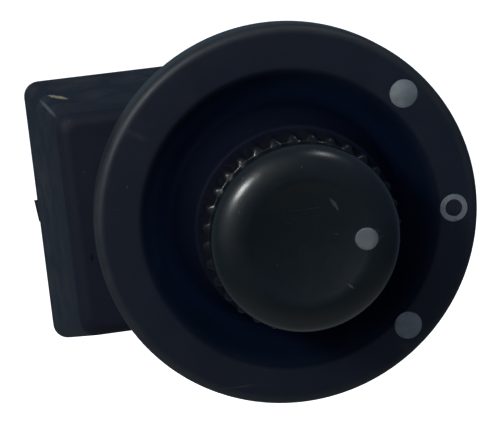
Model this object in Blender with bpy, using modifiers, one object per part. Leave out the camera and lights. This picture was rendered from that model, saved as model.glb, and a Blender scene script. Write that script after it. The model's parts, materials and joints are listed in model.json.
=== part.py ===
"""A rotary battery selector switch for a boat's panel.

A dished round escutcheon and a ribbed knob stand in front of the panel. Behind it, a rectangular
case holds the rotor, its two detents and the contacts, and three terminal studs leave the back.

The switch is modelled lying on its back: X points right, Y up the panel and Z out of the front,
with Z = 0 on the front face of the case and X = Y = 0 on the knob's axis. The empty switch_frame
stands it up, so that its front faces -Y in the scene and its top faces +Z.
Sizes are in millimetres, and the shape helpers turn them into metres.
"""

import math

import bmesh
import bpy
from mathutils import Matrix, Vector

MM = 0.001
GAP = 0.3

# Case: the box behind the panel. Its axis lies off centre, so that the terminals get the left side.
CASE_LEFT = -50.4
CASE_RIGHT = 28.4
CASE_TOP = 28.6
CASE_BOTTOM = -30.0
CASE_DEPTH = 33.0
CASE_WALL = 2.6
CASE_SIDE_DRAFT = 5.7
CASE_TOP_DRAFT = 3.3
CASE_BOTTOM_DRAFT = 8.4
CASE_FRONT_ROUNDING = 2.6
CASE_CORNER_RADIUS = 3.4
PILLAR_RADIUS = 3.4
PILLAR_LENGTH = 12.0
PILLARS = ((-44.6, 22.4), (21.8, 22.4), (-44.6, -22.4), (21.8, -22.4))

# Rear cover and its seal
SEAL_THICKNESS = 1.0
COVER_THICKNESS = 2.4
SEAL_FRONT = -CASE_DEPTH - GAP
COVER_FRONT = SEAL_FRONT - SEAL_THICKNESS - GAP
COVER_BACK = COVER_FRONT - COVER_THICKNESS
LATCH_MIDDLE = -0.4
LATCH_WIDTH = 4.8
LATCH_THICKNESS = 0.7
BARRIER_PLACE = 7.5
BARRIER_HEIGHT = 7.0

# Escutcheon: the dished disc in front of the panel
FLANGE_RADIUS = 40.0
FLANGE_BACK = 1.6
FLANGE_THICKNESS = 7.5
FLANGE_FACE = FLANGE_BACK + FLANGE_THICKNESS
FLANGE_ROUNDING = 1.8
DISH_RADIUS = 30.7
TROUGH_RADIUS = 26.8
TROUGH_DEPTH = 4.4
HUB_FOOT_RADIUS = 24.8
HUB_TOP_RADIUS = 20.6
HUB_ROUNDING = 0.8
HUB_BORE_RADIUS = 17.5
HUB_TOP = FLANGE_FACE + 8.6
HUB_FLOOR = FLANGE_BACK + 3.0
POCKET_COUNT = 12

# Marks on the escutcheon: a dot for each battery and a ring for off
MARK_CIRCLE_RADIUS = 34.7
MARK_RADIUS = 2.95
MARK_RING_BORE = 1.75
MARK_DEPTH = 0.8
MARK_GAP = 0.05
THROW_ANGLE = math.radians(45)
PLATE_TURN = math.radians(-3.9)

# Knob
KNOB_RADIUS = 18.8
KNOB_BOTTOM = HUB_TOP + 0.6
RIB_TOP = FLANGE_FACE + 16.6
KNOB_SHOULDER = FLANGE_FACE + 20.4
KNOB_TOP = FLANGE_FACE + 24.8
KNOB_DISH_RADIUS = 12.4
KNOB_DISH_DEPTH = 1.8
KNOB_LIP_RADIUS = 16.8
KNOB_BORE_RADIUS = 15.4
KNOB_CEILING = KNOB_TOP - 4.0
KNOB_STEM_RADIUS = 6.4
KNOB_STEM_BOTTOM = 13.0
RIB_COUNT = 32
RIB_RADIUS = 20.0
KNOB_DOT_CIRCLE_RADIUS = 11.4
KNOB_DOT_RADIUS = 2.25

# Spindle, its bushing and the fasteners on them
SPINDLE_RADIUS = 4.0
SPINDLE_TOP = 27.0
SPINDLE_SQUARE = 2.8
SPINDLE_END = -19.8
SPINDLE_BORE_RADIUS = 4.1
BUSHING_RADIUS = 7.0
BUSHING_TOP = 12.0
BUSHING_FLANGE_RADIUS = 10.5
BUSHING_FLANGE_FRONT = -CASE_WALL - GAP
BUSHING_FLANGE_BACK = BUSHING_FLANGE_FRONT - 2.0
SEAL_HEIGHT = 8.0

# Rotor and detents
ROTOR_RADIUS = 14.0
ROTOR_FRONT = -12.8
ROTOR_BACK = -22.8
NOTCH_RADIUS = 2.0
NOTCH_CENTRE = 15.0
DETENT_LEVEL = -16.8
PLUNGER_RADIUS = 2.2
PLUNGER_TIP = 14.35
PLUNGER_TOP = 19.0
GUIDE_BOTTOM = 15.6
GUIDE_ENDS = (25.6, -24.3)
GUIDE_BORE_TOP = 22.6
GUIDE_BORE_RADIUS = 2.5

# Contacts and terminals
CONTACT_CIRCLE_RADIUS = 11.5
CONTACT_RADIUS = 2.6
BRIDGE_FRONT = -25.4
BRIDGE_BACK = -26.9
FIXED_CONTACT_FRONT = -28.2
STRIP_FRONT = -29.0
STRIP_BACK = -30.5
BASE_FRONT = -30.8
BASE_BACK = -34.3
STUD_RADIUS = 3.0
STUD_END = -52.0
STUD_HEAD_FRONT = -24.8
HOLE_RADIUS = 3.3
TERMINALS = {
    "battery_1": (-37.0, 15.0),
    "common": (-26.5, 0.0),
    "battery_2": (-37.0, -15.0),
}


def clear_scene():
    for item in list(bpy.data.objects):
        bpy.data.objects.remove(item, do_unlink=True)


def new_collection(name):
    group = bpy.data.collections.new(name)
    bpy.context.scene.collection.children.link(group)
    return group


def new_empty(name, parent=None):
    empty = bpy.data.objects.new(name, None)
    empty.empty_display_size = 0.02
    empty.parent = parent
    PARTS.objects.link(empty)
    return empty


def principled(name, colour, roughness, metallic=0.0):
    material = bpy.data.materials.new(name)
    material.use_nodes = True
    shader = material.node_tree.nodes["Principled BSDF"]
    shader.inputs["Base Color"].default_value = (*colour, 1.0)
    shader.inputs["Roughness"].default_value = roughness
    shader.inputs["Metallic"].default_value = metallic
    material.diffuse_color = (*colour, 1.0)
    return material


# Outlines: lists of (x, y) points, anticlockwise


def circle(radius, x=0.0, y=0.0, sides=32):
    turns = (2 * math.pi * i / sides for i in range(sides))
    return [(x + radius * math.cos(t), y + radius * math.sin(t)) for t in turns]


def hexagon(across_flats, x=0.0, y=0.0, sides=24):
    """A hexagon whose outline has as many points as a circle, so that it can be lofted to one."""
    points = []
    for i in range(sides):
        turn = 2 * math.pi * i / sides
        from_flat = (turn + math.pi / 6) % (math.pi / 3) - math.pi / 6
        reach = across_flats / 2 / math.cos(from_flat)
        points.append((x + reach * math.cos(turn), y + reach * math.sin(turn)))
    return points


def rectangle(low, high):
    return [low, (high[0], low[1]), high, (low[0], high[1])]


def rounded_rectangle(low, high, radius, steps=4):
    corners = ((high[0], high[1]), (low[0], high[1]), (low[0], low[1]), (high[0], low[1]))
    insets = ((-1, -1), (1, -1), (1, 1), (-1, 1))
    points = []
    for quarter, ((x, y), (inset_x, inset_y)) in enumerate(zip(corners, insets)):
        for step in range(steps + 1):
            turn = math.pi / 2 * (quarter + step / steps)
            centre_x = x + inset_x * radius
            centre_y = y + inset_y * radius
            points.append((centre_x + radius * math.cos(turn), centre_y + radius * math.sin(turn)))
    return points


def split_ring(inner, outer, opening, x=0.0, y=0.0, steps=24):
    """An open ring, cut through over the angle opening at its left side."""
    half = math.pi - opening / 2
    turns = [-half + 2 * half * i / steps for i in range(steps + 1)]
    outside = [(x + outer * math.cos(t), y + outer * math.sin(t)) for t in turns]
    inside = [(x + inner * math.cos(t), y + inner * math.sin(t)) for t in reversed(turns)]
    return outside + inside


def case_outline(inset, radius=CASE_CORNER_RADIUS, forward=0.0):
    """The case's outline; forward is how much of the way from its back to its front."""
    side = inset + forward * CASE_SIDE_DRAFT
    low = (CASE_LEFT + side, CASE_BOTTOM + inset + forward * CASE_BOTTOM_DRAFT)
    high = (CASE_RIGHT - side, CASE_TOP - inset - forward * CASE_TOP_DRAFT)
    return rounded_rectangle(low, high, radius)


def arc(centre, radii, start, end, steps):
    """Points of an elliptical arc in a turned profile, from one angle to another, in degrees."""
    points = []
    for step in range(steps + 1):
        turn = math.radians(start + (end - start) * step / steps)
        points.append(
            (centre[0] + radii[0] * math.cos(turn), centre[1] + radii[1] * math.sin(turn))
        )
    return points


def eased(start, end, steps):
    """Points of a smooth S between two points of a turned profile, level at both ends."""
    points = []
    for step in range(steps + 1):
        share = step / steps
        rise = share * share * (3 - 2 * share)
        points.append(
            (start[0] + (end[0] - start[0]) * share, start[1] + (end[1] - start[1]) * rise)
        )
    return points


# Shapes: each adds a closed body to a mesh being built


def loft(shape, sections, ring=False):
    """Join outlines of equal point count, given as (outline, z) pairs from the lowest up.

    A ring has no end faces: its last section, on the inner wall, joins its first."""
    rings = [
        [shape.verts.new(Vector((x, y, z)) * MM) for x, y in outline] for outline, z in sections
    ]
    pairs = list(zip(rings, rings[1:]))
    if ring:
        pairs.append((rings[-1], rings[0]))
    for lower, upper in pairs:
        for i, corner in enumerate(lower):
            after = (i + 1) % len(lower)
            shape.faces.new((corner, lower[after], upper[after], upper[i]))
    if not ring:
        shape.faces.new(reversed(rings[0]))
        shape.faces.new(rings[-1])


def tube(shape, inner, outer, bottom, top):
    """A ring between an inner and an outer outline."""
    loft(shape, [(outer, bottom), (outer, top), (inner, top), (inner, bottom)], ring=True)


def block(shape, low, high):
    size = (Vector(high) - Vector(low)) * MM
    middle = (Vector(high) + Vector(low)) / 2 * MM
    place = Matrix.Translation(middle) @ Matrix.Diagonal(size.to_4d())
    bmesh.ops.create_cube(shape, size=1.0, matrix=place)


def rod(shape, radius, start, end, across=(0.0, 0.0), along="Z", sides=32):
    """A cylinder from start to end along Z, or along Y with across giving its x and z."""
    middle = (start + end) / 2
    if along == "Z":
        place = Matrix.Translation(Vector((*across, middle)) * MM)
    else:
        place = Matrix.Translation(Vector((across[0], middle, across[1])) * MM)
        place = place @ Matrix.Rotation(math.pi / 2, 4, "X")
    bmesh.ops.create_cone(
        shape,
        cap_ends=True,
        segments=sides,
        radius1=radius * MM,
        radius2=radius * MM,
        depth=abs(end - start) * MM,
        matrix=place,
    )


# Objects


def mesh_of(name, build):
    """The mesh that a function fills in, shaded smooth between its sharp edges."""
    shape = bmesh.new()
    build(shape)
    mesh = bpy.data.meshes.new(name)
    shape.to_mesh(mesh)
    shape.free()
    mesh.shade_smooth()
    mesh.set_sharp_from_angle(angle=math.radians(35))
    return mesh


def place_piece(name, mesh, material, parent=None):
    piece = bpy.data.objects.new(name, mesh)
    if not mesh.materials:
        mesh.materials.append(material)
    piece.parent = parent or FRAME
    PARTS.objects.link(piece)
    return piece


def solid(name, build, material, parent=None):
    return place_piece(name, mesh_of(name, build), material, parent)


def helper(name, build):
    """A shape that only cuts or joins another one, hidden in renders."""
    piece = bpy.data.objects.new(name, mesh_of(name, build))
    piece.parent = FRAME
    piece.hide_render = True
    piece.display_type = "WIRE"
    CUTTERS.objects.link(piece)
    return piece


def combine(piece, operation, build, name):
    """Cut a helper shape from a piece (DIFFERENCE), join it (UNION) or keep the INTERSECT."""
    modifier = piece.modifiers.new(name, "BOOLEAN")
    modifier.operation = operation
    modifier.solver = "EXACT"
    modifier.object = helper(f"{piece.name}_{name}", build)


def turned(name, profile, material, parent=None, segments=56):
    """A profile of (radius, z) points, top to bottom down its outer side, turned about Z.

    It is closed on itself if it starts away from the axis."""
    edges = [(i, i + 1) for i in range(len(profile) - 1)]
    if profile[0][0] > 0:
        edges.append((len(profile) - 1, 0))
    mesh = bpy.data.meshes.new(name)
    mesh.from_pydata([(radius * MM, 0.0, z * MM) for radius, z in profile], edges, [])
    piece = place_piece(name, mesh, material, parent)
    screw = piece.modifiers.new("turn", "SCREW")
    screw.steps = segments
    screw.render_steps = segments
    screw.use_merge_vertices = True
    screw.merge_threshold = 1e-6
    screw.use_smooth_shade = True
    return piece


def coil(name, radius, wire, start, end, turns, material, parent=None):
    """A round-wire spring along Z."""
    per_turn = 10
    count = int(turns * per_turn) + 1
    curve = bpy.data.curves.new(name, "CURVE")
    curve.dimensions = "3D"
    curve.bevel_depth = wire * MM
    curve.bevel_resolution = 1
    curve.use_fill_caps = True
    spline = curve.splines.new("POLY")
    spline.points.add(count - 1)
    for i, point in enumerate(spline.points):
        turn = 2 * math.pi * i / per_turn
        height = start + (end - start) * i / (count - 1)
        place = Vector((radius * math.cos(turn), radius * math.sin(turn), height)) * MM
        point.co = (*place, 1.0)
    piece = bpy.data.objects.new(name, curve)
    curve.materials.append(material)
    piece.parent = parent or FRAME
    PARTS.objects.link(piece)
    return piece


# Case and cover


def make_case():
    def outside(shape):
        reach = CASE_FRONT_ROUNDING
        sections = [(case_outline(0.0), -CASE_DEPTH)]
        for inset, z in arc((reach, -reach), (reach, reach), 180, 90, 5):
            corner = CASE_CORNER_RADIUS - 0.5 * inset
            sections.append((case_outline(inset, corner, 1 + z / CASE_DEPTH), z))
        loft(shape, sections)

    def inside(shape):
        back = case_outline(CASE_WALL, 1.0)
        front = case_outline(CASE_WALL, 1.0, 1 - CASE_WALL / CASE_DEPTH)
        loft(shape, [(back, -CASE_DEPTH - 5), (back, -CASE_DEPTH), (front, -CASE_WALL)])

    def bosses(shape):
        for place in PILLARS:
            rod(shape, PILLAR_RADIUS, GAP - CASE_DEPTH, PILLAR_LENGTH - CASE_DEPTH, place, sides=20)
        for side, end in zip((1, -1), GUIDE_ENDS):
            ends = sorted((side * GUIDE_BOTTOM, end))
            block(
                shape,
                (-4.2, ends[0], DETENT_LEVEL - 4.5),
                (4.2, ends[1], DETENT_LEVEL + 4.5),
            )

    def holes(shape):
        rod(shape, BUSHING_RADIUS + GAP, -CASE_WALL - 2, 2.0, sides=32)
        for place in PILLARS:
            rod(shape, 1.6, -CASE_DEPTH - 2, -CASE_DEPTH + 10, place, sides=12)
        for side in (1, -1):
            rod(
                shape,
                GUIDE_BORE_RADIUS,
                side * (GUIDE_BOTTOM - 2),
                side * GUIDE_BORE_TOP,
                (0.0, DETENT_LEVEL),
                along="Y",
                sides=24,
            )

    case = solid("case", outside, CASE_PLASTIC)
    combine(case, "DIFFERENCE", inside, "inside")
    combine(case, "UNION", bosses, "bosses")
    combine(case, "DIFFERENCE", holes, "holes")


def make_cover():
    def plate(shape):
        outline = case_outline(0.0)
        loft(
            shape,
            [
                (case_outline(0.8, 1.8), COVER_BACK),
                (outline, COVER_BACK + 0.8),
                (outline, COVER_FRONT),
            ],
        )

    def lugs_and_barriers(shape):
        low, high = LATCH_MIDDLE - LATCH_WIDTH / 2, LATCH_MIDDLE + LATCH_WIDTH / 2
        for edge, side in ((CASE_LEFT, -1), (CASE_RIGHT, 1)):
            inner = edge - side * 1.2
            wedge = [(inner, low), (edge + side * 0.2, low)]
            wedge += [(edge + side * LATCH_THICKNESS, high), (inner, high)]
            if side < 0:
                wedge.reverse()
            loft(shape, [(wedge, COVER_BACK + 1.0), (wedge, COVER_FRONT - 0.2)])
        for y in (BARRIER_PLACE, -BARRIER_PLACE):
            block(
                shape,
                (-46.5, y - 0.7, COVER_BACK - BARRIER_HEIGHT),
                (-19.0, y + 0.7, COVER_BACK + 1.0),
            )

    def holes(shape):
        for place in TERMINALS.values():
            rod(shape, HOLE_RADIUS, COVER_BACK - 2, COVER_FRONT + 2, place, sides=24)
        for place in PILLARS:
            rod(shape, 1.6, COVER_BACK - 2, COVER_FRONT + 2, place, sides=12)

    def seal_ring(shape):
        tube(
            shape,
            case_outline(2.4, 1.0),
            case_outline(0.6, 2.0),
            SEAL_FRONT - SEAL_THICKNESS,
            SEAL_FRONT,
        )

    def screw(shape):
        shank = 1.25
        sections = [
            (circle(1.6, sides=16), COVER_BACK - GAP - 1.7),
            (circle(2.5, sides=16), COVER_BACK - GAP - 1.3),
            (circle(2.8, sides=16), COVER_BACK - GAP),
            (circle(shank, sides=16), COVER_BACK - GAP),
            (circle(shank, sides=16), -CASE_DEPTH + 7.4),
            (circle(0.5, sides=16), -CASE_DEPTH + 8.4),
        ]
        loft(shape, sections)

    cover = solid("rear_cover", plate, CASE_PLASTIC)
    combine(cover, "UNION", lugs_and_barriers, "lugs_and_barriers")
    combine(cover, "DIFFERENCE", holes, "holes")
    solid("cover_seal", seal_ring, RUBBER)
    screw_mesh = mesh_of("cover_screw", screw)
    for number, (x, y) in enumerate(PILLARS, start=1):
        piece = place_piece(f"cover_screw_{number}", screw_mesh, STEEL)
        piece.location = Vector((x, y, 0.0)) * MM


# Escutcheon


def escutcheon_profile():
    trough = FLANGE_FACE - TROUGH_DEPTH
    edge = FLANGE_RADIUS - FLANGE_ROUNDING
    profile = [(HUB_BORE_RADIUS, HUB_TOP - 0.8), (HUB_BORE_RADIUS + 0.8, HUB_TOP)]
    corner = (HUB_TOP_RADIUS - HUB_ROUNDING, HUB_TOP - HUB_ROUNDING)
    profile += arc(corner, (HUB_ROUNDING, HUB_ROUNDING), 90, 0, 3)
    reach = (HUB_FOOT_RADIUS - HUB_TOP_RADIUS, corner[1] - trough)
    profile += arc((HUB_FOOT_RADIUS, corner[1]), reach, 180, 270, 6)[1:]
    profile += eased((TROUGH_RADIUS, trough), (DISH_RADIUS, FLANGE_FACE), 6)
    profile += arc(
        (edge, FLANGE_FACE - FLANGE_ROUNDING), (FLANGE_ROUNDING, FLANGE_ROUNDING), 90, 0, 3
    )
    profile += [(FLANGE_RADIUS, FLANGE_BACK + 0.4), (FLANGE_RADIUS - 0.4, FLANGE_BACK)]
    profile += [(BUSHING_RADIUS + 0.4, FLANGE_BACK), (BUSHING_RADIUS + 0.4, HUB_FLOOR)]
    profile += [(HUB_BORE_RADIUS, HUB_FLOOR)]
    return profile


def mark_place(turns):
    turn = turns * THROW_ANGLE + PLATE_TURN
    return MARK_CIRCLE_RADIUS * math.cos(turn), MARK_CIRCLE_RADIUS * math.sin(turn)


def make_escutcheon():
    recess = FLANGE_FACE - MARK_DEPTH
    above = FLANGE_FACE + 1.0
    ring_outside = circle(MARK_RADIUS + MARK_GAP, *mark_place(0))
    ring_inside = circle(MARK_RING_BORE - MARK_GAP, *mark_place(0))

    def recesses(shape):
        for turns in (1, -1):
            rod(shape, MARK_RADIUS + MARK_GAP, recess, above, mark_place(turns))
        tube(shape, ring_inside, ring_outside, recess, above)

    def back_pockets(shape):
        """The flange is cored out behind, between radial ribs."""
        pitch = 2 * math.pi / POCKET_COUNT
        for number in range(POCKET_COUNT):
            middle = number * pitch
            outline = []
            for reach, start, end in ((37.4, -1, 1), (30.6, 1, -1)):
                half = pitch / 2 - 0.9 / reach
                for step in range(6):
                    turn = middle + half * (start + (end - start) * step / 5)
                    outline.append((reach * math.cos(turn), reach * math.sin(turn)))
            loft(shape, [(outline, FLANGE_BACK - 2.0), (outline, FLANGE_FACE - 3.0)])

    escutcheon = turned("escutcheon", escutcheon_profile(), FACE_PLASTIC)
    combine(escutcheon, "DIFFERENCE", recesses, "recesses")
    combine(escutcheon, "DIFFERENCE", back_pockets, "back_pockets")

    floor = recess + MARK_GAP
    for name, turns in (("mark_battery_1", 1), ("mark_battery_2", -1)):
        outline = circle(MARK_RADIUS, *mark_place(turns))
        solid(name, lambda shape: loft(shape, [(outline, floor), (outline, FLANGE_FACE)]), MARKING)

    def off_ring(shape):
        outside = circle(MARK_RADIUS, *mark_place(0))
        inside = circle(MARK_RING_BORE, *mark_place(0))
        tube(shape, inside, outside, floor, FLANGE_FACE)

    solid("mark_off", off_ring, MARKING)

    def gasket(shape):
        tube(shape, circle(7.5, sides=48), circle(24.0, sides=48), GAP, FLANGE_BACK - GAP)

    solid("panel_gasket", gasket, RUBBER)


# Bushing, spindle and knob


def make_bushing():
    bore = SPINDLE_BORE_RADIUS
    profile = [(bore, BUSHING_TOP), (BUSHING_RADIUS - 0.5, BUSHING_TOP)]
    profile += [(BUSHING_RADIUS, BUSHING_TOP - 0.5), (BUSHING_RADIUS, BUSHING_FLANGE_FRONT)]
    profile += [(BUSHING_FLANGE_RADIUS, BUSHING_FLANGE_FRONT)]
    profile += [(BUSHING_FLANGE_RADIUS, BUSHING_FLANGE_BACK), (bore, BUSHING_FLANGE_BACK)]
    turned("bushing", profile, BRASS, segments=32)

    thread = BUSHING_RADIUS + GAP
    washer_bottom = HUB_FLOOR + GAP
    nut_bottom = washer_bottom + 0.8 + GAP

    def washer(shape):
        tube(shape, circle(thread), circle(10.5), washer_bottom, washer_bottom + 0.8)

    def nut(shape):
        inner = circle(thread, sides=24)
        tube(shape, inner, hexagon(19.0), nut_bottom, nut_bottom + 4.0)

    solid("bushing_washer", washer, STEEL)
    solid("bushing_nut", nut, BRASS)


def make_spindle():
    radius = SPINDLE_RADIUS
    seal_groove = (SEAL_HEIGHT + 1.2, SEAL_HEIGHT - 1.2)
    clip_groove = (BUSHING_FLANGE_BACK - 0.4, BUSHING_FLANGE_BACK - 1.6)
    profile = [(0.0, SPINDLE_TOP), (radius - 0.6, SPINDLE_TOP), (radius, SPINDLE_TOP - 0.6)]
    for (top, bottom), floor in ((seal_groove, 2.8), (clip_groove, 3.2)):
        profile += [(radius, top), (floor, top), (floor, bottom), (radius, bottom)]
    round_end = ROTOR_FRONT + GAP
    profile += [(radius, round_end), (0.0, round_end)]

    def square_end(shape):
        half = SPINDLE_SQUARE
        block(shape, (-half, -half, SPINDLE_END), (half, half, round_end + 1.0))

    def flat(shape):
        block(shape, (-6, 2.6, 14.0), (6, 6, SPINDLE_TOP + 2))

    spindle = turned("spindle", profile, STEEL, ROTOR_AXIS, segments=32)
    combine(spindle, "UNION", square_end, "square_end")
    combine(spindle, "DIFFERENCE", flat, "flat")

    def clip(shape):
        outline = split_ring(3.4, 6.6, math.radians(70))
        loft(shape, [(outline, clip_groove[1] + 0.15), (outline, clip_groove[0] - 0.15)])

    solid("retaining_ring", clip, STEEL, ROTOR_AXIS)
    ring = arc((3.45, SEAL_HEIGHT), (0.5, 0.5), 90, -225, 7)
    turned("spindle_seal", ring, RUBBER, ROTOR_AXIS, segments=24)

    def spring_plate(shape):
        block(shape, (-1.7, 2.85, 16.0), (1.7, 3.45, SPINDLE_TOP - 1.0))

    solid("knob_clip", spring_plate, STEEL, ROTOR_AXIS)


def knob_profile():
    shoulder = (KNOB_DISH_RADIUS + 0.2, KNOB_SHOULDER)
    reach = (KNOB_RADIUS - shoulder[0], KNOB_TOP - KNOB_SHOULDER)
    dish = [(0.0, KNOB_TOP - KNOB_DISH_DEPTH)]
    for share in (0.35, 0.6, 0.8, 0.93):
        sink = KNOB_DISH_DEPTH * (1 - share**2)
        dish.append((KNOB_DISH_RADIUS * share, KNOB_TOP - sink))
    profile = dish + arc(shoulder, reach, 90, 0, 6)
    profile += [(KNOB_RADIUS, KNOB_BOTTOM), (KNOB_LIP_RADIUS, KNOB_BOTTOM)]
    profile += [(KNOB_LIP_RADIUS, KNOB_BOTTOM - 3.4), (KNOB_BORE_RADIUS, KNOB_BOTTOM - 3.4)]
    profile += [(KNOB_BORE_RADIUS, KNOB_CEILING - 1.5), (KNOB_BORE_RADIUS - 1.5, KNOB_CEILING)]
    profile += [(KNOB_STEM_RADIUS, KNOB_CEILING), (KNOB_STEM_RADIUS, KNOB_STEM_BOTTOM)]
    profile += [(SPINDLE_BORE_RADIUS, KNOB_STEM_BOTTOM), (SPINDLE_BORE_RADIUS, SPINDLE_TOP + 0.4)]
    profile += [(0.0, SPINDLE_TOP + 0.4)]
    return profile


def make_knob():
    dot_floor = KNOB_TOP - 2.2
    dot_place = [KNOB_DOT_CIRCLE_RADIUS * part for part in (math.cos(PLATE_TURN), math.sin(PLATE_TURN))]

    def ribs(shape):
        for number in range(RIB_COUNT):
            turn = 2 * math.pi * number / RIB_COUNT
            sections = []
            for outer, half, z in (
                (RIB_RADIUS, 0.55, KNOB_BOTTOM + 0.1),
                (RIB_RADIUS, 0.55, RIB_TOP - 0.5),
                (KNOB_RADIUS - 0.2, 0.45, RIB_TOP + 0.5),
            ):
                corners = [(17.6, -1.35), (outer, -half), (outer, half), (17.6, 1.35)]
                outline = [
                    (
                        x * math.cos(turn) - y * math.sin(turn),
                        x * math.sin(turn) + y * math.cos(turn),
                    )
                    for x, y in corners
                ]
                sections.append((outline, z))
            loft(shape, sections)

    def dot_recess(shape):
        rod(shape, KNOB_DOT_RADIUS + MARK_GAP, dot_floor, KNOB_TOP + 2, dot_place)

    def dot_bounds(shape):
        rod(shape, KNOB_DOT_RADIUS, dot_floor + MARK_GAP, KNOB_TOP + 2, dot_place)

    knob = turned("knob", knob_profile(), KNOB_PLASTIC, ROTOR_AXIS)
    combine(knob, "UNION", ribs, "ribs")
    combine(knob, "DIFFERENCE", dot_recess, "dot_recess")
    dot = turned("knob_dot", knob_profile(), MARKING, ROTOR_AXIS)
    combine(dot, "INTERSECT", dot_bounds, "bounds")


# Rotor, contacts and detents


def make_rotor():
    def disc(shape):
        rod(shape, ROTOR_RADIUS, ROTOR_BACK, ROTOR_FRONT, sides=48)

    def posts(shape):
        rod(shape, 2.6, ROTOR_BACK - 3.2, ROTOR_BACK + 0.5, sides=16)
        for x in (6.5, -6.5):
            for y in (5.2, -5.2):
                block(shape, (x - 1.5, y - 1.3, ROTOR_BACK - 5.0), (x + 1.5, y + 1.3, ROTOR_BACK + 0.5))

    def cuts(shape):
        half = SPINDLE_SQUARE + 0.2
        block(shape, (-half, -half, SPINDLE_END - 0.4), (half, half, ROTOR_FRONT + 2))
        for quarter in (1, 2, 3, 5, 6, 7):
            turn = quarter * THROW_ANGLE
            place = (NOTCH_CENTRE * math.cos(turn), NOTCH_CENTRE * math.sin(turn))
            rod(shape, NOTCH_RADIUS, ROTOR_BACK - 2, ROTOR_FRONT + 2, place, sides=16)

    rotor = solid("rotor", disc, INSULATOR, ROTOR_AXIS)
    combine(rotor, "UNION", posts, "posts")
    combine(rotor, "DIFFERENCE", cuts, "cuts")

    def bar(shape):
        block(shape, (-14.3, -3.5, BRIDGE_BACK), (14.3, 3.5, BRIDGE_FRONT))

    def bridge_pads(shape):
        for x in (CONTACT_CIRCLE_RADIUS, -CONTACT_CIRCLE_RADIUS):
            rod(shape, CONTACT_RADIUS, BRIDGE_BACK - 1.0, BRIDGE_BACK + 0.5, (x, 0.0), sides=20)

    def bridge_hole(shape):
        rod(shape, 2.9, BRIDGE_BACK - 2, BRIDGE_FRONT + 2, sides=20)

    bridge = solid("contact_bridge", bar, COPPER, ROTOR_AXIS)
    combine(bridge, "UNION", bridge_pads, "pads")
    combine(bridge, "DIFFERENCE", bridge_hole, "hole")
    coil("contact_spring", 3.9, 0.3, ROTOR_BACK - 0.65, BRIDGE_FRONT + 0.65, 2.5, STEEL, ROTOR_AXIS)


def make_fixed_contacts():
    pad = CONTACT_CIRCLE_RADIUS * math.cos(THROW_ANGLE)
    near = pad - 3.0
    far = pad + 3.0
    common = [(-near, far), (-far, far), (-15.0, 6.2), (-31.8, 6.2)]
    common += [(-31.8, -6.2), (-15.0, -6.2), (-far, -far), (-near, -far)]
    common += [(-near, -near), (-9.2, -3.0), (-9.2, 3.0), (-near, near)]
    battery_1 = [(near, near), (far, near), (far, 18.3), (-30.0, 18.3), (-31.5, 19.8)]
    battery_1 += [(-42.0, 19.8), (-42.0, 9.8), (-31.5, 9.8), (-28.6, 12.7), (near, 12.7)]
    battery_2 = [(x, -y) for x, y in reversed(battery_1)]
    contacts = (
        ("common", common, ((-pad, pad), (-pad, -pad))),
        ("battery_1", battery_1, ((pad, pad),)),
        ("battery_2", battery_2, ((pad, -pad),)),
    )
    for name, outline, pads in contacts:

        def strip(shape):
            loft(shape, [(outline, STRIP_BACK), (outline, STRIP_FRONT)])

        def rivets(shape):
            for place in pads:
                rod(shape, CONTACT_RADIUS, STRIP_FRONT - 0.5, FIXED_CONTACT_FRONT, place, sides=20)

        def stud_hole(shape):
            rod(shape, HOLE_RADIUS, STRIP_BACK - 2, STRIP_FRONT + 2, TERMINALS[name], sides=24)

        contact = solid(f"contact_{name}", strip, COPPER)
        combine(contact, "UNION", rivets, "rivets")
        combine(contact, "DIFFERENCE", stud_hole, "stud_hole")

    def base(shape):
        left, right, top = -46.6, 22.6, 22.4
        notch = 6.6
        outline = [(left, -top + notch), (left + notch, -top + notch), (left + notch, -top)]
        outline += [(right - notch, -top), (right - notch, -top + notch), (right, -top + notch)]
        outline += [(-x + left + right, -y) for x, y in outline]
        loft(shape, [(outline, BASE_BACK), (outline, BASE_FRONT)])

    def base_holes(shape):
        for place in TERMINALS.values():
            rod(shape, HOLE_RADIUS, BASE_BACK - 2, BASE_FRONT + 2, place, sides=24)

    contact_base = solid("contact_base", base, INSULATOR)
    combine(contact_base, "DIFFERENCE", base_holes, "stud_holes")


def make_terminals():
    bore = STUD_RADIUS + 0.2
    washer_front = COVER_BACK - GAP
    lock_front = washer_front - 1.2 - GAP
    nut_front = lock_front - 1.5 - GAP

    def stud(shape):
        head_back = STRIP_FRONT + GAP
        shank = circle(STUD_RADIUS, sides=24)
        sections = [(circle(STUD_RADIUS - 0.5, sides=24), STUD_END)]
        sections += [(shank, STUD_END + 0.6), (shank, head_back), (hexagon(10.0), head_back)]
        sections += [(hexagon(10.0), STUD_HEAD_FRONT - 0.4), (hexagon(9.2), STUD_HEAD_FRONT)]
        loft(shape, sections)

    def washer(shape):
        tube(shape, circle(bore, sides=24), circle(6.2, sides=24), washer_front - 1.2, washer_front)

    def lock_washer(shape):
        outline = split_ring(bore, 5.4, math.radians(12))
        loft(shape, [(outline, lock_front - 1.5), (outline, lock_front)])

    def nut(shape):
        inner = circle(bore, sides=24)
        tube(shape, inner, hexagon(10.0), nut_front - 5.0, nut_front)

    pieces = (
        ("stud", stud, BRASS),
        ("washer", washer, STEEL),
        ("lock_washer", lock_washer, STEEL),
        ("nut", nut, BRASS),
    )
    for kind, build, material in pieces:
        mesh = mesh_of(f"terminal_{kind}", build)
        for terminal, (x, y) in TERMINALS.items():
            piece = place_piece(f"{kind}_{terminal}", mesh, material)
            piece.location = Vector((x, y, 0.0)) * MM


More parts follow.
